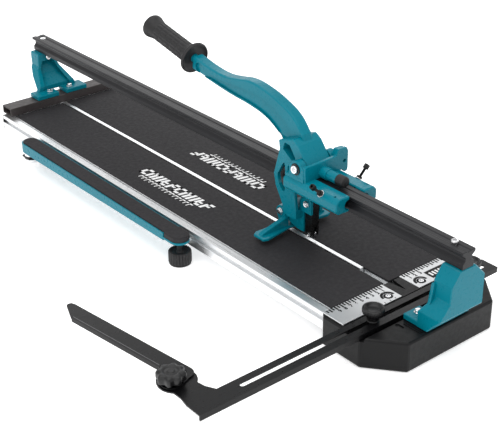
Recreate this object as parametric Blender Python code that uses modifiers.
"""Rail tile cutter with side arms, a sliding fence and an angle guide.

The bed lies along Y, with its front base at the origin, and the floor is Z = 0.
Lengths below are in millimetres, and the shape functions turn them into metres.
"""
import math

import bmesh
import bpy
from mathutils import Matrix, Vector

MM = 0.001
GAP = 0.3

# Bed: front base, deck, side profiles and mats
BED_HALF = 120.0
DECK_FRONT = 65.0
DECK_REAR = 958.0
PROFILE_REAR = 946.0
MAT_REAR = 925.0
TILE_LEVEL = 50.0
MAT_THICK = 3.0
BASE_HALF = 122.0
BASE_CORNER = 82.0
BASE_FRONT = -57.0
BASE_TOP = 46.0
CHANNEL_TOP = 41.0
RULER_FRONT = 26.0
RULER_TOP = 50.1
RULER_THICK = 1.5
PROFILE_BOTTOM = 23.0
PROFILE_WIDTH = 12.0
PROFILE_TOP = 49.5
RIB_X = 60.0
BREAKING_FRONT = 115.0
BREAKING_HALF = 3.3
BREAKING_TOP = 50.6

# Guide rail and what carries it
RAIL_FRONT = -75.0
RAIL_REAR = 1005.0
RAIL_BOTTOM = 136.0
RAIL_HEIGHT = 25.6
RAIL_TOP = RAIL_BOTTOM + RAIL_HEIGHT
BEAM_FRONT = 927.6
BEAM_HALF = 112.6
BEAM_TOP = 64.6
FRONT_SCREW_Y = -50.0
REAR_SCREW_Y = 986.0

# Carriage and handle, as places in the YZ plane
CARRIAGE_FRONT = 130.0
CARRIAGE_REAR = 243.0
CARRIAGE_HALF = 39.0
CARRIAGE_INNER = 13.4
CARRIAGE_BOTTOM = 140.0
CARRIAGE_TOP = 164.0
BRIDGE_TOP = 167.0
PIVOT_Y = 219.0
PIVOT_Z = 179.0
HEAD_HALF = 22.5
LEVER_HALF = 9.0
STEM_HALF = 8.8
CHEEK_THICK = 6.0
WHEEL_Y = 220.5
WHEEL_Z = 62.5
WHEEL_RADIUS = 9.0
HOLDER_SCREW = (220.5, 115.0)
BREAKER_Y = 277.0
BREAKER_Z = 82.0
GRIP_START = (0.0, 497.0, 257.0)
GRIP_END = (0.0, 616.0, 282.0)
BEARING_X = 14.8
BEARING_Z = 150.75
BEARING_RADIUS = 8.0
BEARING_HEIGHT = 4.2
BEARING_Y = {"front": 149.0, "rear": 225.0}
ADJUSTER_X = 36.0
ADJUSTER_Y = 165.0

# Side arms
ARM_X = 138.5
ARM_HALF = 16.0
ARM_PIVOT_Y = 811.0
ARM_FOOT_Y = 366.0
ARM_BOTTOM = 31.0
ARM_WALL = 2.4
ARM_WALL_FRONT = 386.0
ARM_WALL_TOP = 47.4
ARM_TOP = 41.0
ARM_BORE_TOP = 39.4

# Fence and angle guide
FENCE_LEFT = -380.0
FENCE_RIGHT = 150.0
FENCE_FRONT = -6.8
FENCE_REAR = 22.6
FENCE_TOP = 49.7
SLOT_Y = 9.0
KNOB_X = {"near": -82.0, "far": 108.0}
GUIDE_X = -368.0
GUIDE_Y = 67.0
GUIDE_LEAN = math.radians(8.4)
GUIDE_OFFSET = 23.5
GUIDE_HALF = 12.6
LUG_PLACE = (-359.0, 68.0)

SIDES = {"left": -1.0, "right": 1.0}


# ---------------------------------------------------------------- scene helpers

def clear_scene():
    for obj in list(bpy.data.objects):
        bpy.data.objects.remove(obj, do_unlink=True)


def new_collection(name):
    group = bpy.data.collections.new(name)
    bpy.context.scene.collection.children.link(group)
    return group


def new_material(name, colour, roughness, metallic):
    paint = bpy.data.materials.new(name)
    paint.use_nodes = True
    shader = paint.node_tree.nodes["Principled BSDF"]
    shader.inputs["Base Color"].default_value = (*colour, 1.0)
    shader.inputs["Roughness"].default_value = roughness
    shader.inputs["Metallic"].default_value = metallic
    paint.diffuse_color = (*colour, 1.0)
    return paint


clear_scene()
PARTS = new_collection("tile_cutter")
CUTTERS = new_collection("cutters")
TEAL = new_material("teal_paint", (0.0, 0.29, 0.38), 0.3, 0.0)
ALUMINIUM = new_material("aluminium", (0.74, 0.75, 0.76), 0.35, 1.0)
ANODISED = new_material("dark_anodised", (0.045, 0.045, 0.05), 0.4, 0.6)
STEEL = new_material("bright_steel", (0.72, 0.72, 0.72), 0.25, 1.0)
BLACK_STEEL = new_material("black_steel", (0.02, 0.02, 0.02), 0.35, 0.7)
BLACK_PLASTIC = new_material("black_plastic", (0.015, 0.015, 0.016), 0.45, 0.0)
RUBBER = new_material("black_rubber", (0.012, 0.012, 0.013), 0.7, 0.0)
MAT = new_material("mat", (0.035, 0.033, 0.037), 0.8, 0.0)


def add_object(name, mesh, paint, matrix=None):
    obj = bpy.data.objects.new(name, mesh)
    PARTS.objects.link(obj)
    mesh.materials.clear()
    mesh.materials.append(paint)
    if matrix is not None:
        obj.matrix_world = matrix
    return obj


def as_cutter(obj):
    PARTS.objects.unlink(obj)
    CUTTERS.objects.link(obj)
    obj.hide_render = True
    obj.display_type = "WIRE"


def combine(target, tool, operation):
    as_cutter(tool)
    step = target.modifiers.new(operation.title(), "BOOLEAN")
    step.operation = operation
    step.object = tool


def cut(target, *tools):
    for tool in tools:
        combine(target, tool, "DIFFERENCE")


def join(target, *tools):
    for tool in tools:
        combine(target, tool, "UNION")


def soften(obj, width, segments=1):
    bevel = obj.modifiers.new("Bevel", "BEVEL")
    bevel.width = width * MM
    bevel.segments = segments
    bevel.limit_method = "ANGLE"
    bevel.angle_limit = math.radians(35.0)
    bevel.use_clamp_overlap = True
    return obj


# ---------------------------------------------------------------- shape helpers

def box(name, low, high, paint=TEAL):
    low = Vector(low) * MM
    high = Vector(high) * MM
    shape = bmesh.new()
    bmesh.ops.create_cube(shape, size=1.0)
    bmesh.ops.scale(shape, vec=high - low, verts=shape.verts)
    mesh = bpy.data.meshes.new(name)
    shape.to_mesh(mesh)
    shape.free()
    return add_object(name, mesh, paint, Matrix.Translation((low + high) / 2))


def along(start, direction):
    """The matrix that stands local Z along a direction, at a start point."""
    turn = Vector(direction).to_track_quat("Z", "Y").to_matrix().to_4x4()
    return Matrix.Translation(Vector(start) * MM) @ turn


def rod(name, start, end, radius, paint=TEAL, sides=20):
    """A cylinder between two points, or a hexagon bar with six sides."""
    axis = Vector(end) - Vector(start)
    shape = bmesh.new()
    bmesh.ops.create_cone(shape, cap_ends=True, segments=sides, radius1=radius * MM,
                          radius2=radius * MM, depth=axis.length * MM)
    mesh = bpy.data.meshes.new(name)
    shape.to_mesh(mesh)
    shape.free()
    mesh.shade_smooth()
    mesh.set_sharp_from_angle(angle=math.radians(32.0))
    middle = Vector(start) + axis / 2
    return add_object(name, mesh, paint, along(middle, axis))


def turned(name, profile, start, direction, paint=TEAL, steps=20, ring=False):
    """A profile of (radius, height) pairs, outer side from top to bottom, turned about its axis."""
    points = [(radius * MM, 0.0, height * MM) for radius, height in profile]
    edges = [(i, i + 1) for i in range(len(points) - 1)]
    if ring:
        edges.append((len(points) - 1, 0))
    mesh = bpy.data.meshes.new(name)
    mesh.from_pydata(points, edges, [])
    obj = add_object(name, mesh, paint, along(start, direction))
    screw = obj.modifiers.new("Screw", "SCREW")
    screw.axis = "Z"
    screw.steps = steps
    screw.render_steps = steps
    screw.use_merge_vertices = True
    screw.merge_threshold = 0.00001
    return obj


FACING = {
    "X": Matrix(((0, 0, 1), (1, 0, 0), (0, 1, 0))),
    "Y": Matrix(((1, 0, 0), (0, 0, -1), (0, 1, 0))),
    "Z": Matrix(((1, 0, 0), (0, 1, 0), (0, 0, 1))),
}


def fill_spline(curve, loop, flowing):
    kind = "BEZIER" if flowing else "POLY"
    spline = curve.splines.new(kind)
    spline.use_cyclic_u = True
    points = spline.bezier_points if flowing else spline.points
    points.add(len(loop) - 1)
    for point, place in zip(points, loop):
        if flowing:
            point.co = (place[0] * MM, place[1] * MM, 0.0)
            handle = "VECTOR" if len(place) > 2 else "AUTO"
            point.handle_left_type = handle
            point.handle_right_type = handle
        else:
            point.co = (place[0] * MM, place[1] * MM, 0.0, 1.0)


def solid_from_curve(shape, paint):
    """Turn a filled curve into a closed mesh object in the same place."""
    graph = bpy.context.evaluated_depsgraph_get()
    mesh = bpy.data.meshes.new_from_object(shape.evaluated_get(graph))
    clean = bmesh.new()
    clean.from_mesh(mesh)
    bmesh.ops.remove_doubles(clean, verts=clean.verts, dist=0.00001)
    bmesh.ops.dissolve_limit(clean, angle_limit=0.001, verts=clean.verts, edges=clean.edges)
    bmesh.ops.recalc_face_normals(clean, faces=clean.faces)
    clean.to_mesh(mesh)
    clean.free()
    name = shape.name
    matrix = shape.matrix_world.copy()
    bpy.data.objects.remove(shape, do_unlink=True)
    obj = add_object(name, mesh, paint, matrix)
    obj.name = name
    return obj


def plate(name, outline, facing, low, high, paint=TEAL, holes=(), flowing=False):
    """A flat outline that faces one axis and runs from low to high along it.

    Outlines are (Y, Z) pairs facing X, (X, Z) pairs facing Y and (X, Y) pairs facing Z. In a
    flowing outline a third value marks a corner.
    """
    curve = bpy.data.curves.new(name, "CURVE")
    curve.dimensions = "2D"
    curve.fill_mode = "BOTH"
    curve.resolution_u = 4
    curve.extrude = (high - low) / 2 * MM
    for loop in (outline, *holes):
        fill_spline(curve, loop, flowing)
    shape = bpy.data.objects.new(name, curve)
    PARTS.objects.link(shape)
    centre = {"X": (1, 0, 0), "Y": (0, 1, 0), "Z": (0, 0, 1)}[facing]
    shift = Vector(centre) * ((low + high) / 2 * MM)
    shape.matrix_world = Matrix.Translation(shift) @ FACING[facing].to_4x4()
    bpy.context.view_layer.update()
    return solid_from_curve(shape, paint)


def arc(centre, radius, start, end, steps=8):
    """Points on an arc, with angles in degrees."""
    points = []
    for step in range(steps + 1):
        angle = math.radians(start + (end - start) * step / steps)
        points.append((centre[0] + radius * math.cos(angle), centre[1] + radius * math.sin(angle)))
    return points


def rounded(points, radius, steps=3):
    """The same outline with every corner rounded."""
    result = []
    count = len(points)
    for i, corner in enumerate(points):
        here = Vector(corner)
        back = Vector(points[i - 1]) - here
        ahead = Vector(points[(i + 1) % count]) - here
        half = back.angle(ahead) / 2
        reach = min(radius / math.tan(half), 0.45 * back.length, 0.45 * ahead.length)
        first = here + back.normalized() * reach
        last = here + ahead.normalized() * reach
        for step in range(steps + 1):
            t = step / steps
            spot = first * (1 - t) ** 2 + here * 2 * t * (1 - t) + last * t ** 2
            result.append((spot.x, spot.y))
    return result


def slot_outline(start, end, radius, steps=8):
    """A straight slot with round ends, between two centres."""
    run = Vector(end) - Vector(start)
    heading = math.degrees(math.atan2(run.y, run.x))
    first = arc(start, radius, heading + 90, heading + 270, steps)
    return first + arc(end, radius, heading - 90, heading + 90, steps)


def mirrored(points, sign):
    return [(x * sign, y) for x, y in points]


def bolt(name, head_base, direction, head, shank, paint=STEEL, sides=6):
    """A bolt whose head stands on head_base and whose shank runs against the direction.

    head and shank are (radius, length) pairs.
    """
    base = Vector(head_base)
    way = Vector(direction).normalized()
    top = base + way * head[1]
    obj = soften(rod(name, base, top, head[0], paint, sides), 0.5)
    stem = rod(name + "_shank", base + way * 0.5, base - way * shank[1], shank[0], paint, 16)
    join(obj, stem)
    return obj


def place_origin(obj, point):
    """Move the origin to a point on the piece's axis, and leave the shape where it is."""
    target = Vector(point) * MM
    turn = obj.matrix_world.to_3x3().to_4x4()
    shift = turn.inverted() @ Matrix.Translation(obj.matrix_world.translation - target) @ turn
    obj.data.transform(shift)
    obj.matrix_world = Matrix.Translation(target) @ turn
    return obj


def add_axis(name, point, parent=None):
    empty = bpy.data.objects.new(name, None)
    PARTS.objects.link(empty)
    empty.location = Vector(point) * MM
    bpy.context.view_layer.update()
    if parent is not None:
        attach(parent, empty)
    return empty


def attach(parent, *pieces):
    """Parent pieces to an axis and keep them where they are."""
    bpy.context.view_layer.update()
    for piece in pieces:
        piece.parent = parent
        piece.matrix_parent_inverse = parent.matrix_world.inverted()


# ---------------------------------------------------------------- the bed

RULER_SCREWS = {"left": (-24.5, 38.0), "right": (39.5, 37.0)}
PAD_BOLT = (-29.0, -22.0)
STUD_BOTTOM = 22.0
RULER_BOTTOM = RULER_TOP - RULER_THICK
STEP_TOP = RULER_BOTTOM - GAP
RULER_SCREW_DEPTH = 12.0


def make_front_base():
    rear = DECK_FRONT - GAP
    outline = [(-BASE_HALF, rear), (-BASE_HALF, -8), (-BASE_CORNER, BASE_FRONT),
               (BASE_CORNER, BASE_FRONT), (BASE_HALF, -8), (BASE_HALF, rear)]
    base = soften(plate("front_base", outline, "Z", 0, BASE_TOP, BLACK_PLASTIC), 3.0, 2)
    cut(base, box("fence_channel", (-BASE_HALF - 5, -12, CHANNEL_TOP), (BASE_HALF + 5, 26, 60)))
    step = soften(box("step", (-BASE_HALF + 2.6, 24, CHANNEL_TOP - 4),
                      (BASE_HALF - 2.6, rear - 0.5, STEP_TOP)), 1.0)
    centre = box("centre_block", (-9.6, 24.4, STEP_TOP - 3), (23.7, rear - 1.0, 49.6))
    join(base, step, centre)
    notch = plate("notch", [(1, 70), (13, 70), (7, 34)], "Z", 46.5, 55)
    recess = plate("recess", slot_outline((-62, -24), (-62, -17), 3.5), "Z", BASE_TOP - 1.5, 50)
    cut(base, notch, recess)
    for x in (-54.0, -50.4):
        join(base, box("rib", (x, -50, BASE_TOP - 3), (x + 1.4, -20, BASE_TOP + 0.9)))
    for side in SIDES.values():
        inner, outer = sorted((side * 14, side * 100))
        cut(base, box("rear_pocket", (inner, 0, -5), (outer, 55, 36)))
        inner, outer = sorted((side * 14, side * 70))
        cut(base, box("front_pocket", (inner, -50, -5), (outer, -6, 32)))
    for x in KNOB_X.values():
        cut(base, rod("stud_hole", (x, SLOT_Y, STUD_BOTTOM - 2), (x, SLOT_Y, 55), 3.3, sides=16))
    for x, y in RULER_SCREWS.values():
        cut(base, rod("screw_hole", (x, y, 34), (x, y, 55), 2.3, sides=16))
    cut(base, rod("pad_hole", (*PAD_BOLT, 26), (*PAD_BOLT, 55), 3.3, sides=16))
    return base


def make_deck():
    half = BED_HALF - PROFILE_WIDTH - 0.5
    under = 40.0
    top = TILE_LEVEL - MAT_THICK - GAP
    floor = 42.0
    channel = 4.6
    rib = 2.0
    rib_bottom = 24.0
    section = [(-half, under), (-RIB_X - rib, under), (-RIB_X - rib, rib_bottom),
               (-RIB_X + rib, rib_bottom), (-RIB_X + rib, under), (RIB_X - rib, under),
               (RIB_X - rib, rib_bottom), (RIB_X + rib, rib_bottom), (RIB_X + rib, under),
               (half, under), (half, top), (channel, top), (channel, floor),
               (-channel, floor), (-channel, top), (-half, top)]
    plate("bed_plate", section, "Y", DECK_FRONT + 1, DECK_REAR - 1, ALUMINIUM)
    box("breaking_bar", (-BREAKING_HALF, BREAKING_FRONT, floor + GAP),
        (BREAKING_HALF, MAT_REAR, BREAKING_TOP), ALUMINIUM)
    for name, side in SIDES.items():
        inner, outer = sorted((side * (channel + GAP), side * 105.5))
        mat = box("mat_" + name, (inner, DECK_FRONT + 1, TILE_LEVEL - MAT_THICK),
                  (outer, MAT_REAR, TILE_LEVEL), MAT)
        soften(mat, 0.5)


def make_side_profile(name, side):
    outer = BED_HALF
    inner = BED_HALF - PROFILE_WIDTH
    groove = 5.0
    section = [(inner, PROFILE_BOTTOM), (outer, PROFILE_BOTTOM), (outer, 36),
               (outer - groove, 37), (outer - groove, 42), (outer, 43), (outer, PROFILE_TOP),
               (inner, PROFILE_TOP), (inner, 47), (inner + 2, 46), (inner + 2, 26), (inner, 25)]
    profile = plate("side_profile_" + name, mirrored(section, side), "Y",
                    DECK_FRONT + GAP, PROFILE_REAR, ALUMINIUM)
    soften(profile, 0.4)


def make_ruler(name):
    rear = DECK_FRONT
    x, y = RULER_SCREWS[name]
    if name == "left":
        outline = [(-BED_HALF, RULER_FRONT), (-10, RULER_FRONT), (-10, rear), (-BED_HALF, rear)]
    else:
        outline = [(24, RULER_FRONT), (BED_HALF, RULER_FRONT), (BED_HALF, rear), (24, rear)]
    opening = arc((x, y), 7.0, 0, 330, 11)
    plate("ruler_" + name, outline, "Z", RULER_BOTTOM, RULER_TOP, ALUMINIUM, holes=[opening])
    bolt("ruler_screw_" + name, (x, y, STEP_TOP + GAP), (0, 0, 1), (4.2, 2.4),
         (1.9, RULER_SCREW_DEPTH), STEEL, 20)


def make_beam():
    wall = 2.0
    bottom = PROFILE_TOP + GAP
    low = BEAM_FRONT + wall
    high = DECK_REAR - wall
    outline = [(BEAM_FRONT, bottom), (DECK_REAR, bottom), (DECK_REAR, BEAM_TOP),
               (BEAM_FRONT, BEAM_TOP)]
    inside = [(low, bottom + wall), (high, bottom + wall), (high, BEAM_TOP - wall),
              (low, BEAM_TOP - wall)]
    beam = plate("rear_cross_beam", outline, "X", -BEAM_HALF, BEAM_HALF, BLACK_STEEL,
                 holes=[inside])
    for side in SIDES.values():
        x = side * REAR_BOLT_X
        cut(beam, rod("beam_hole", (x, REAR_BOLT_Y, 58), (x, REAR_BOLT_Y, 70), 3.3, sides=16))


def make_bed_feet():
    for name, side in SIDES.items():
        profile = [(0, 23.7), (13, 23.7), (15, 12), (15, 1), (14, 0), (0, 0)]
        turned("bed_foot_" + name, profile, (side * RIB_X, 930, 0), (0, 0, 1), RUBBER, 20)


# ---------------------------------------------------------------- rail and supports

REAR_BOLT_X = 21.0
REAR_BOLT_Y = 939.5
CLAMP_BOLT_Y = 974.0
CLAMP_BOLT_Z = 128.0
REAR_SUPPORT_FRONT = 947.5
REAR_SUPPORT_REAR = 956.0


def make_rail():
    half = [(10.5, 0), (10.5, 8), (6.5, 12.5), (6.5, 17), (12.3, 21.5), (12.3, RAIL_HEIGHT),
            (4, RAIL_HEIGHT), (3, RAIL_HEIGHT - 1)]
    section = [(x, RAIL_BOTTOM + z) for x, z in half]
    section += [(-x, z) for x, z in reversed(section)]
    rail = plate("guide_rail", section, "Y", RAIL_FRONT, RAIL_REAR, ANODISED)
    soften(rail, 0.5)
    for y in (FRONT_SCREW_Y, REAR_SCREW_Y):
        cut(rail, rod("rail_hole", (0, y, 130), (0, y, 170), 3.3, sides=16))
    countersink = turned("countersink", [(0, 6), (7.3, 6), (7.3, 2), (3, -3), (0, -3)],
                         (0, REAR_SCREW_Y, RAIL_TOP - 2), (0, 0, 1), TEAL, 16)
    cut(rail, countersink)


def make_rail_screws():
    bolt("rail_screw_front", (0, FRONT_SCREW_Y, RAIL_TOP + GAP), (0, 0, 1), (5.0, 5.0),
         (3.0, 42.0), BLACK_STEEL, 20)
    profile = [(0, 0.6), (5.6, 0.6), (5.6, 0), (2.9, -3.4), (2.9, -29), (0, -29)]
    turned("rail_screw_rear", profile, (0, REAR_SCREW_Y, RAIL_TOP - 1.2), (0, 0, 1), STEEL, 20)


def make_rear_support():
    """A cast frame on two pads, whose legs lean back to a block under the rail's end."""
    pad_bottom = BEAM_TOP + GAP
    pad_top = pad_bottom + 8.5
    crown = RAIL_BOTTOM - GAP
    face = [(-42, pad_top - 2), (42, pad_top - 2), (21, 112), (19, crown), (-19, crown), (-21, 112)]
    side = [(REAR_SUPPORT_FRONT, pad_top - 5), (REAR_SUPPORT_FRONT, 82), (974, 106), (977, 140),
            (1004, 140), (1004, 128), (999, 106), (983, 92), (REAR_SUPPORT_REAR, 76),
            (REAR_SUPPORT_REAR, pad_top - 5)]
    support = plate("rear_support", face, "Y", 900, 1020)
    combine(support, plate("support_side", side, "X", -60, 60), "INTERSECT")
    soften(support, 1.2)
    between = plate("between_legs", rounded([(-34, 60), (34, 60), (12, 121), (-12, 121)], 3), "Y",
                    900, 1020)
    before_web = [(900, 40), (950, 40), (952, 80), (976, 96), (994, 122), (994, 150), (900, 150)]
    combine(between, plate("before_web", before_web, "X", -50, 50), "INTERSECT")
    cut(support, between)
    for side_sign in SIDES.values():
        inner, outer = sorted((side_sign * 8, side_sign * 53))
        pad = box("pad", (inner, BEAM_FRONT - 0.5, pad_bottom), (outer, DECK_REAR - 0.6, pad_top))
        join(support, soften(pad, 1.2))
        x = side_sign * REAR_BOLT_X
        cut(support, rod("bolt_hole", (x, REAR_BOLT_Y, 60), (x, REAR_BOLT_Y, 80), 3.3, sides=16))
        bolt("rear_foot_bolt_" + ("left" if side_sign < 0 else "right"),
             (x, REAR_BOLT_Y, pad_top + GAP), (0, 0, 1), (5.8, 4.6), (3.0, 16.0))
    bore = ((0, 960, CLAMP_BOLT_Z), (0, 996, CLAMP_BOLT_Z))
    cut(support, rod("clamp_hole", *bore, 3.3, sides=16))
    cut(support, rod("rail_screw_hole", (0, REAR_SCREW_Y, 118), (0, REAR_SCREW_Y, 145), 3.3,
                     sides=16))
    bolt("rear_clamp_bolt", (0, CLAMP_BOLT_Y, CLAMP_BOLT_Z), (0, -1, 0), (5.6, 4.2), (3.0, 16.0),
         BLACK_STEEL)


def make_front_support():
    """A cast block whose face stands out under the rail's end, on a foot behind it."""
    bottom = BASE_TOP + GAP
    crown = RAIL_BOTTOM - GAP
    pad_top = bottom + 8.7
    face = [(-46, bottom), (-46, 73), (-29, 92), (-28, 116), (-14, crown), (16, crown),
            (36, 115), (36, bottom)]
    side = [(RAIL_FRONT, 140), (RAIL_FRONT, 70), (-54, 50), (-54, bottom - 5), (-35, bottom - 5),
            (-35, 70), (-43.5, 84), (-43.5, 140)]
    support = plate("front_support", face, "Y", -90, 0)
    combine(support, plate("support_side", side, "X", -60, 60), "INTERSECT")
    soften(support, 1.2)
    pad = box("foot_pad", (-45.5, -53, bottom + 0.02), (-14, -10, pad_top))
    gusset = plate("gusset", [(-44, bottom + 4), (-26, bottom + 4), (-26, 112), (-31.5, 112)],
                   "Y", -48.5, -43.7)
    join(support, soften(pad, 1.2), gusset)
    cut(support, rod("pad_bolt_hole", (*PAD_BOLT, 35), (*PAD_BOLT, 65), 3.3, sides=16))
    screw_low = (0, FRONT_SCREW_Y, RAIL_TOP - 50)
    cut(support, rod("rail_screw_hole", screw_low, (0, FRONT_SCREW_Y, 140), 3.3, sides=16))
    bolt("front_foot_bolt", (*PAD_BOLT, pad_top + GAP), (0, 0, 1), (5.2, 4.6), (3.0, 20.0))


# ---------------------------------------------------------------- carriage

def carriage_arm(name, side):
    section = [(CARRIAGE_INNER, CARRIAGE_BOTTOM), (34, CARRIAGE_BOTTOM), (CARRIAGE_HALF, 145),
               (CARRIAGE_HALF, 158), (33, CARRIAGE_TOP), (CARRIAGE_INNER, CARRIAGE_TOP)]
    arm = plate(name, mirrored(section, side), "Y", CARRIAGE_FRONT, CARRIAGE_REAR)
    return soften(arm, 1.5)


def make_carriage():
    carriage = carriage_arm("carriage", -1)
    join(carriage, carriage_arm("right_arm", 1))
    bridge = box("bridge", (-35.5, 203, RAIL_TOP + 0.7), (35.5, 242, BRIDGE_TOP))
    join(carriage, bridge)
    lug = [(203, 162), (236, 162), (234, 182)] + arc((PIVOT_Y, PIVOT_Z), 12, 30, 150, 6)
    lug += [(203, 182)]
    for side in SIDES.values():
        inner, outer = sorted((side * (HEAD_HALF + 1), side * 35.2))
        join(carriage, soften(plate("lug", lug, "X", inner, outer), 1.0))
    front = [(-34, 162.6), (38.5, 162.6), (42, 158), (47, 158), (49, 163), (49, 190), (46, 196),
             (29, 197), (25, 188), (-34, 186.5)]
    join(carriage, soften(plate("front_plate", front, "Y", 200, 205.5), 0.8))
    ear = [(26, 163.5), (46.5, 163.5), (48.4, 170), (48.4, 189.5), (45.5, 195.4), (29.6, 196.3),
           (26, 188)]
    join(carriage, soften(plate("far_ear", ear, "Y", 201, 211.6), 1.2))
    join(carriage, rod("boss_collar", (0, 186, 171), (0, 202, 171), 9.0))
    join(carriage, rod("bumper_boss", (0, 168, 171), (0, 196, 171), 8.0))
    cut_carriage(carriage)
    return carriage


def cut_carriage(carriage):
    for side in SIDES.values():
        x = side * BEARING_X
        for y in BEARING_Y.values():
            pocket = rod("pocket", (x, y, BEARING_Z - 3.1), (x, y, BEARING_Z + 3.1), 9.0)
            hole = rod("axle_hole", (x, y, CARRIAGE_BOTTOM - 2), (x, y, 162), 2.5, sides=16)
            cut(carriage, pocket, hole)
        mouth = (x, CARRIAGE_FRONT - 2, BEARING_Z)
        cut(carriage, rod("mouth", mouth, (x, 149, BEARING_Z), 8.5))
        low = adjuster_point(side, -10)
        cut(carriage, rod("adjuster_hole", low, adjuster_point(side, 5), 2.5, sides=16))
    pivot = (PIVOT_Y, PIVOT_Z)
    cut(carriage, rod("pivot_hole", (-45, *pivot), (45, *pivot), 4.3))
    cut(carriage, rod("plug_hole", (0, 160, 171), (0, 191, 171), 3.3, sides=16))
    cut(carriage, rod("ear_hole", (41.5, 190, 176), (41.5, 208, 176), 3.0, sides=16))
    for side in SIDES.values():
        x = side * 31
        cut(carriage, rod("arm_top_hole", (x, 141, 157), (x, 141, 170), 1.9, sides=12))


def adjuster_point(side, reach):
    """A point on an adjusting screw's axis, which leans out by 45 degrees."""
    step = reach * math.sqrt(0.5)
    return (side * (ADJUSTER_X + step), ADJUSTER_Y, 161 + step)


def make_adjusters():
    for name, side in SIDES.items():
        screw = rod("adjuster_screw_" + name, adjuster_point(side, -9), adjuster_point(side, 20),
                    2.2, BLACK_STEEL, 16)
        washer = rod("washer", adjuster_point(side, GAP), adjuster_point(side, 1.3), 5.4)
        nut = rod("nut", adjuster_point(side, 1.0), adjuster_point(side, 4.6), 4.8, sides=6)
        head = rod("head", adjuster_point(side, 18), adjuster_point(side, 25), 4.2, sides=20)
        join(screw, washer, nut, head)
        attach(AXES["carriage"], screw)


def make_bearings():
    low = -BEARING_HEIGHT / 2
    high = BEARING_HEIGHT / 2
    ring = [(2.6, high), (7.4, high), (BEARING_RADIUS, high - 0.6), (BEARING_RADIUS, low + 0.6),
            (7.4, low), (2.6, low)]
    for end, y in BEARING_Y.items():
        for name, side in SIDES.items():
            place = (side * BEARING_X, y, BEARING_Z)
            turned(f"bearing_{end}_{name}", ring, place, (0, 0, 1), STEEL, ring=True)
            screw = bolt(f"bearing_screw_{end}_{name}", (place[0], y, CARRIAGE_BOTTOM - GAP),
                         (0, 0, -1), (3.5, 3.2), (2.2, 21.0), STEEL, 16)
            attach(AXES["carriage"], screw)
            attach(AXES["carriage"], bpy.data.objects[f"bearing_{end}_{name}"])


def make_bumper_plug():
    profile = [(0, 37), (3, 37), (3, 14.7), (8.2, 14.7), (8.2, 1.5), (6.7, 0), (0, 0)]
    plug = turned("bumper_plug", profile, (0, 153, 171), (0, 1, 0), RUBBER, 20)
    attach(AXES["carriage"], plug)


def make_pivot_bolt():
    reach = 35.2 + GAP
    piece = rod("pivot_bolt", (-reach - 0.5, PIVOT_Y, PIVOT_Z), (reach + 0.5, PIVOT_Y, PIVOT_Z),
                4.0, STEEL, 20)
    for side in SIDES.values():
        inner = (side * reach, PIVOT_Y, PIVOT_Z)
        outer = (side * (reach + 4.4), PIVOT_Y, PIVOT_Z)
        join(piece, soften(rod("bolt_end", inner, outer, 6.4, sides=6), 0.6))
    attach(AXES["carriage"], piece)


# ---------------------------------------------------------------- handle

LEVER = [(224, 186, 1), (235.5, 218, 1), (254, 238), (288, 253.5), (322, 262), (357, 265),
         (388, 259.5), (416, 255.5), (448, 257.5), (492.6, 266, 1), (497.4, 243.8, 1),
         (448, 236), (401, 230), (351, 226), (318, 219.5), (292, 207), (272, 193, 1)]
LEVER_CHANNEL = [(263, 214), (290, 235), (326, 246.5), (372, 248.5), (418, 246), (452, 249),
                 (484, 257), (486, 245.5), (448, 239.5), (401, 233.5), (352, 229.5), (320, 223),
                 (296, 211.5), (276, 200)]
SHOULDER = [(208, 182), (215.5, 190.5), (229, 207), (240, 213.5), (272, 203), (270, 190),
            (252, 168.4), (219, 168.2), (210, 172.5)]
SHOULDER_WINDOW = [(233, 184), (247, 202.5), (258, 203.5), (262, 192), (243, 180)]
CHEEK = [(224, 174), (251, 168.4), (252, 141.5), (246, 138.6), (237, 134), (233, 101), (238, 89),
         (256, 89), (279, 128), (283, 146), (267, 199), (236, 196)]
CHEEK_WINDOW = [(258, 176), (274.5, 147), (271, 133), (261.5, 122), (257, 128), (256.5, 150)]
STEM = [(230.2, 64), (230.2, 103), (257, 103), (277, 91), (285, 88), (286, 76), (271, 72),
        (245, 64)]
CROSS_BLOCK = [(233, 88), (233, 101), (238, 103), (262, 103), (262, 92), (252, 86)]


def make_handle():
    handle = plate("handle_lever", LEVER, "X", -LEVER_HALF, LEVER_HALF, flowing=True)
    soften(handle, 2.5, 2)
    shoulder = plate("shoulder", SHOULDER, "X", -HEAD_HALF, HEAD_HALF)
    join(handle, soften(shoulder, 1.2))
    join(handle, plate("stem", STEM, "X", -STEM_HALF, STEM_HALF))
    join(handle, plate("cross_block", CROSS_BLOCK, "X", -HEAD_HALF + 0.4, HEAD_HALF - 0.4))
    for side in SIDES.values():
        inner, outer = sorted((side * (HEAD_HALF - CHEEK_THICK), side * (HEAD_HALF - 0.1)))
        cheek = plate("cheek", rounded(CHEEK, 3, 2), "X", inner, outer)
        join(handle, soften(cheek, 0.8))
        inner, outer = sorted((side * 7.4, side * 11))
        clevis = [(212, 99), (212, 119), (215, 122), (231, 122), (236, 116), (238, 99)]
        join(handle, plate("clevis", clevis, "X", inner, outer))
    rod_way = (Vector(GRIP_END) - Vector(GRIP_START)).normalized()
    rod_start = Vector(GRIP_START) - rod_way * 8
    rod_end = Vector(GRIP_START) + rod_way * 104
    join(handle, rod("grip_rod", rod_start, rod_end, 7.0, sides=20))
    cut_handle(handle)
    place_origin(handle, (0, PIVOT_Y, PIVOT_Z))
    attach(AXES["handle"], handle)


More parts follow.
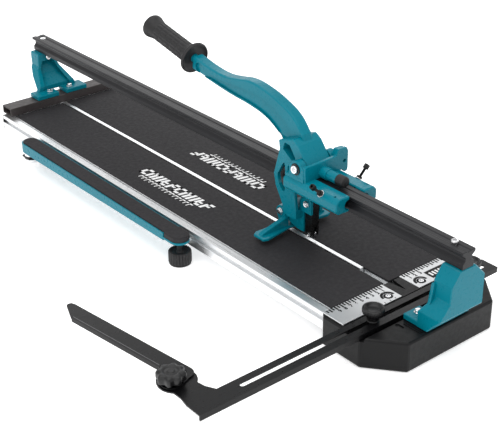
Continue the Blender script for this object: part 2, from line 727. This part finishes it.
def cut_handle(handle):
    for side in SIDES.values():
        inner, outer = sorted((side * 5.5, side * 14))
        channel = plate("channel", LEVER_CHANNEL, "X", inner, outer, flowing=True)
        inner, outer = sorted((side * 10, side * 30))
        pocket = plate("pocket", rounded(SHOULDER_WINDOW, 2, 2), "X", inner, outer)
        inner, outer = sorted((side * 12, side * 30))
        window = plate("window", rounded(CHEEK_WINDOW, 3, 2), "X", inner, outer)
        cut(handle, channel, pocket, window)
    cut(handle, rod("pivot_bore", (-40, PIVOT_Y, PIVOT_Z), (40, PIVOT_Y, PIVOT_Z), 4.3))
    cut(handle, rod("breaker_bore", (-20, BREAKER_Y, BREAKER_Z), (20, BREAKER_Y, BREAKER_Z), 2.8,
                    sides=16))
    cut(handle, rod("holder_bore", (-20, *HOLDER_SCREW), (20, *HOLDER_SCREW), 2.8, sides=16))


def make_grip():
    way = Vector(GRIP_END) - Vector(GRIP_START)
    length = way.length
    profile = [(0, length), (15, length), (19, length - 3), (19, length - 7), (16, length - 18),
               (15, length - 26), (15, 15), (17, 10.5), (24.5, 8), (25.5, 6.5), (25.5, 3.5),
               (24, 2), (16, 0), (7.3, 0), (7.3, 106), (0, 106)]
    grip = turned("rubber_grip", profile, GRIP_START, way, RUBBER, 24)
    attach(AXES["handle"], grip)


def make_wheel_holder():
    outline = [(213.5, 122), (229.8, 122), (229.8, 66), (226, 59), (221, 57), (216, 59),
               (213.5, 66)]
    holder = soften(plate("wheel_holder", outline, "X", -7, 7, STEEL), 0.8)
    cut(holder, box("fork_slot", (-2.4, 200, 50), (2.4, 235, 77)))
    cut(holder, rod("axle_bore", (-15, WHEEL_Y, WHEEL_Z), (15, WHEEL_Y, WHEEL_Z), 2.5, sides=16))
    cut(holder, rod("screw_bore", (-20, *HOLDER_SCREW), (20, *HOLDER_SCREW), 2.8, sides=16))
    screw = bolt("wheel_holder_screw", (-11 - GAP, *HOLDER_SCREW), (-1, 0, 0), (5.0, 4.0),
                 (2.5, 23.0), STEEL)
    axle = bolt("wheel_axle", (-7 - GAP, WHEEL_Y, WHEEL_Z), (-1, 0, 0), (3.6, 1.8),
                (2.2, 14.6), STEEL, 16)
    attach(AXES["handle"], holder, screw, axle)
    edge = [(2.5, 2), (6.5, 2), (WHEEL_RADIUS, 0), (6.5, -2), (2.5, -2)]
    wheel = turned("cutting_wheel", edge, (0, WHEEL_Y, WHEEL_Z), (1, 0, 0), STEEL, 24, ring=True)
    attach(AXES["wheel"], wheel)


def make_breaker_foot():
    half = [(12, 259), (59, 251), (67, 254), (67, 276), (59, 281), (12, 279)]
    sole = half + mirrored(half, -1)[::-1]
    foot = soften(plate("breaker_foot", sole, "Z", 57, 61.5), 1.0)
    ear = [(266, 59.5), (266, 82)] + arc((BREAKER_Y, BREAKER_Z), 9, 150, 30, 5) + [(287, 82),
           (279, 59.5)]
    for side in SIDES.values():
        inner, outer = sorted((side * (STEM_HALF + 0.6), side * 13.8))
        join(foot, plate("ear", ear, "X", inner, outer))
        ridge = [(10, 58.5), (10, 77), (17, 76), (61, 64.5), (65, 58.5)]
        join(foot, soften(plate("ridge", mirrored(ridge, side), "Y", 262, 270.5), 0.8))
    cut(foot, rod("bolt_bore", (-20, BREAKER_Y, BREAKER_Z), (20, BREAKER_Y, BREAKER_Z), 2.8,
                  sides=16))
    place_origin(foot, (0, BREAKER_Y, BREAKER_Z))
    attach(AXES["breaker"], foot)
    reach = 13.8 + GAP
    piece = rod("breaker_bolt", (-reach - 0.5, BREAKER_Y, BREAKER_Z),
                (reach + 0.5, BREAKER_Y, BREAKER_Z), 2.5, STEEL, 16)
    for side in SIDES.values():
        inner = (side * reach, BREAKER_Y, BREAKER_Z)
        outer = (side * (reach + 3.6), BREAKER_Y, BREAKER_Z)
        join(piece, soften(rod("bolt_end", inner, outer, 4.8, sides=6), 0.5))
    attach(AXES["handle"], piece)


# ---------------------------------------------------------------- side arms

def make_cross_bar():
    bar = box("arm_cross_bar", (-152, 799, 18.7), (152, 823, 22.7), BLACK_STEEL)
    soften(bar, 0.8)
    for side in SIDES.values():
        x = side * ARM_X
        cut(bar, rod("pivot_hole", (x, ARM_PIVOT_Y, 15), (x, ARM_PIVOT_Y, 26), 4.3, sides=16))


def arm_wall(x):
    """The U-shaped wall of an arm, open at the front, whose lower edge rises to the front."""
    outer = ARM_HALF
    inner = ARM_HALF - ARM_WALL
    outline = [(x + outer, ARM_WALL_FRONT)] + arc((x, ARM_PIVOT_Y), outer, 0, 180, 10)
    outline += [(x - outer, ARM_WALL_FRONT), (x - inner, ARM_WALL_FRONT)]
    outline += arc((x, ARM_PIVOT_Y), inner, 180, 0, 8) + [(x + inner, ARM_WALL_FRONT)]
    wall = plate("arm_wall", outline, "Z", ARM_BOTTOM, ARM_WALL_TOP)
    under = [(ARM_WALL_FRONT - 9, ARM_BOTTOM - 5), (ARM_WALL_FRONT - 9, 35.6),
             (ARM_PIVOT_Y - 30, ARM_BOTTOM - 0.1), (ARM_PIVOT_Y - 30, ARM_BOTTOM - 5)]
    cut(wall, plate("under_wall", under, "X", x - 20, x + 20))
    return wall


def arm_pad(name, x):
    """The pad lies between the walls, and fills the whole round front end."""
    narrow = ARM_HALF - ARM_WALL - GAP
    wide = ARM_HALF - 0.2
    shoulder = ARM_WALL_FRONT - 5 * GAP
    outline = arc((x, ARM_PIVOT_Y), narrow, 0, 180, 8)
    outline += [(x - narrow, shoulder), (x - wide, shoulder)]
    outline += arc((x, ARM_FOOT_Y), wide, 180, 360, 10)
    outline += [(x + wide, shoulder), (x + narrow, shoulder)]
    pad = plate("arm_pad_" + name, outline, "Z", ARM_TOP + GAP, TILE_LEVEL, RUBBER)
    return soften(pad, 1.0)


def make_arm(name, side):
    x = side * ARM_X
    ends = ((x, ARM_FOOT_Y), (x, ARM_PIVOT_Y))
    arm = plate("arm_" + name, slot_outline(*ends, ARM_HALF - 0.1, 10), "Z", 37.6, ARM_TOP)
    join(arm, arm_wall(x))
    for y, low in ((ARM_FOOT_Y, 34.0), (ARM_PIVOT_Y, ARM_BOTTOM + 0.1)):
        join(arm, rod("boss", (x, y, low), (x, y, ARM_TOP - 1), 8.0, sides=20))
        cut(arm, rod("bore", (x, y, ARM_BOTTOM - 4), (x, y, ARM_BORE_TOP), 4.3, sides=16))
    pad = arm_pad(name, x)
    dome = [(0, 30.8), (4, 30.8), (4, 22.7), (13, 22.7), (13, 15.1), (4, 15.1), (4, 10.4),
            (14.2, 10.4), (14.2, 7), (11, 3), (6, 0.8), (0, 0)]
    pivot = turned("arm_pivot_" + name, dome, (x, ARM_PIVOT_Y, 8), (0, 0, 1), STEEL)
    place_origin(arm, (x, ARM_PIVOT_Y, ARM_TOP))
    place_origin(pad, (x, ARM_PIVOT_Y, TILE_LEVEL))
    attach(AXES["arm_" + name], arm, pad, pivot)


def make_arm_foot(name, side):
    profile = [(0, 38.8), (4, 38.8), (4, 22), (16, 22), (18, 20), (18, 3), (17, 0), (0, 0)]
    foot = turned("arm_foot_" + name, profile, (side * ARM_X, ARM_FOOT_Y, 0), (0, 0, 1),
                  RUBBER)
    attach(AXES["arm_" + name], foot)


# ---------------------------------------------------------------- fence and guide

def make_fence():
    tab = [(-333, FENCE_REAR), (-340, 36)] + arc(LUG_PLACE, 26, -50, 225, 16)
    tab += [(-377, 36), (-380, 20)]
    outline = [(FENCE_LEFT, FENCE_FRONT), (FENCE_RIGHT, FENCE_FRONT), (FENCE_RIGHT, FENCE_REAR)]
    outline += tab
    slot = slot_outline((-303.5, SLOT_Y), (134.5, SLOT_Y), 3.6, 6)
    hole = arc((GUIDE_X, GUIDE_Y), 3.3, 0, 330, 11)
    window = arc(guide_point(2, GUIDE_OFFSET + 2), 3.4, 0, 330, 11)
    fence = plate("fence_bar", outline, "Z", FENCE_TOP - 2, FENCE_TOP, BLACK_STEEL,
                  holes=[slot, hole, window])
    flange = box("flange", (FENCE_LEFT + 0.2, FENCE_FRONT + 0.01, 41.4),
                 (FENCE_RIGHT - 0.2, FENCE_FRONT + 2.2, FENCE_TOP - 0.5))
    join(fence, flange)
    attach(AXES["fence"], fence)


def guide_point(reach, across):
    """A point on the guide blade: reach runs along it from the pivot, across runs to its right."""
    sine = math.sin(GUIDE_LEAN)
    cosine = math.cos(GUIDE_LEAN)
    return (GUIDE_X - reach * sine + across * cosine, GUIDE_Y + reach * cosine + across * sine)


def make_guide():
    """A straight blade with a folded lip, and a lug beside its round end that takes the pivot."""
    near = GUIDE_OFFSET - GUIDE_HALF
    far = GUIDE_OFFSET + GUIDE_HALF
    lean = math.degrees(GUIDE_LEAN)
    lug = arc((GUIDE_X, GUIDE_Y), 15, 85 + lean, 290 + lean, 12)
    end = arc(guide_point(2, GUIDE_OFFSET), GUIDE_HALF, 260 + lean, 360 + lean, 7)
    tip = [guide_point(224, far), guide_point(230, far - 1.5), guide_point(232, far - 6),
           guide_point(230, far - 10), guide_point(203, near)]
    hole = arc((GUIDE_X, GUIDE_Y), 3.3, 0, 330, 11)
    window = arc(guide_point(2, GUIDE_OFFSET + 2), 2.8, 0, 330, 11)
    outline = [guide_point(34, near)] + lug + end + tip
    blade = plate("guide_blade", outline, "Z", FENCE_TOP + GAP, FENCE_TOP + GAP + 2, BLACK_STEEL,
                  holes=[hole, window])
    lip = [guide_point(34, near + 0.05), guide_point(202, near + 0.05),
           guide_point(202, near + 2), guide_point(34, near + 2)]
    join(blade, plate("lip", lip, "Z", 45.5, FENCE_TOP + 1.5))
    place_origin(blade, (GUIDE_X, GUIDE_Y, FENCE_TOP))
    attach(AXES["guide"], blade)


def make_guide_knob():
    foot = FENCE_TOP + 2 * GAP + 2
    lobes = 8
    outline = []
    for step in range(48):
        angle = math.radians(step * 7.5)
        radius = 17.8 + 1.6 * math.cos(lobes * angle)
        outline.append((GUIDE_X + radius * math.cos(angle), GUIDE_Y + radius * math.sin(angle)))
    knob = plate("guide_knob", outline, "Z", foot + 2.5, foot + 15.5, BLACK_PLASTIC)
    neck = turned("neck", [(0, 30), (9, 30), (10, 28), (10, 13), (3, 13), (3, 5), (0, 5)],
                  (GUIDE_X, GUIDE_Y, foot - 13), (0, 0, 1), TEAL, 20)
    join(knob, neck)
    place_origin(knob, (GUIDE_X, GUIDE_Y, foot))
    attach(AXES["fence"], knob)


def make_clamp_knob(name, x):
    profile = [(0, 46), (9, 46), (12, 48), (14, 48), (15.3, 46.5), (15.3, 40), (13, 37.5),
               (8.5, 34), (7.5, 28), (3, 28), (3, 0), (0, 0)]
    turned("clamp_knob_" + name, profile, (x, SLOT_Y, STUD_BOTTOM), (0, 0, 1), BLACK_PLASTIC)


# ---------------------------------------------------------------- assembly

AXES = {"carriage": add_axis("carriage_slide_axis", (0, PIVOT_Y, BEARING_Z))}
AXES["handle"] = add_axis("handle_axis", (0, PIVOT_Y, PIVOT_Z), AXES["carriage"])
AXES["wheel"] = add_axis("wheel_axis", (0, WHEEL_Y, WHEEL_Z), AXES["handle"])
AXES["breaker"] = add_axis("breaker_axis", (0, BREAKER_Y, BREAKER_Z), AXES["handle"])
AXES["arm_left"] = add_axis("arm_left_axis", (-ARM_X, ARM_PIVOT_Y, ARM_TOP))
AXES["arm_right"] = add_axis("arm_right_axis", (ARM_X, ARM_PIVOT_Y, ARM_TOP))
AXES["fence"] = add_axis("fence_axis", (0, SLOT_Y, FENCE_TOP))
AXES["guide"] = add_axis("guide_axis", (GUIDE_X, GUIDE_Y, FENCE_TOP), AXES["fence"])

make_front_base()
make_deck()
make_beam()
make_bed_feet()
make_rail()
make_rail_screws()
make_rear_support()
make_front_support()
attach(AXES["carriage"], make_carriage())
make_adjusters()
make_bearings()
make_bumper_plug()
make_pivot_bolt()
make_handle()
make_grip()
make_wheel_holder()
make_breaker_foot()
make_cross_bar()
make_fence()
make_guide()
make_guide_knob()
for side_name, side_sign in SIDES.items():
    make_side_profile(side_name, side_sign)
    make_ruler(side_name)
    make_arm(side_name, side_sign)
    make_arm_foot(side_name, side_sign)
for knob_name, knob_x in KNOB_X.items():
    make_clamp_knob(knob_name, knob_x)
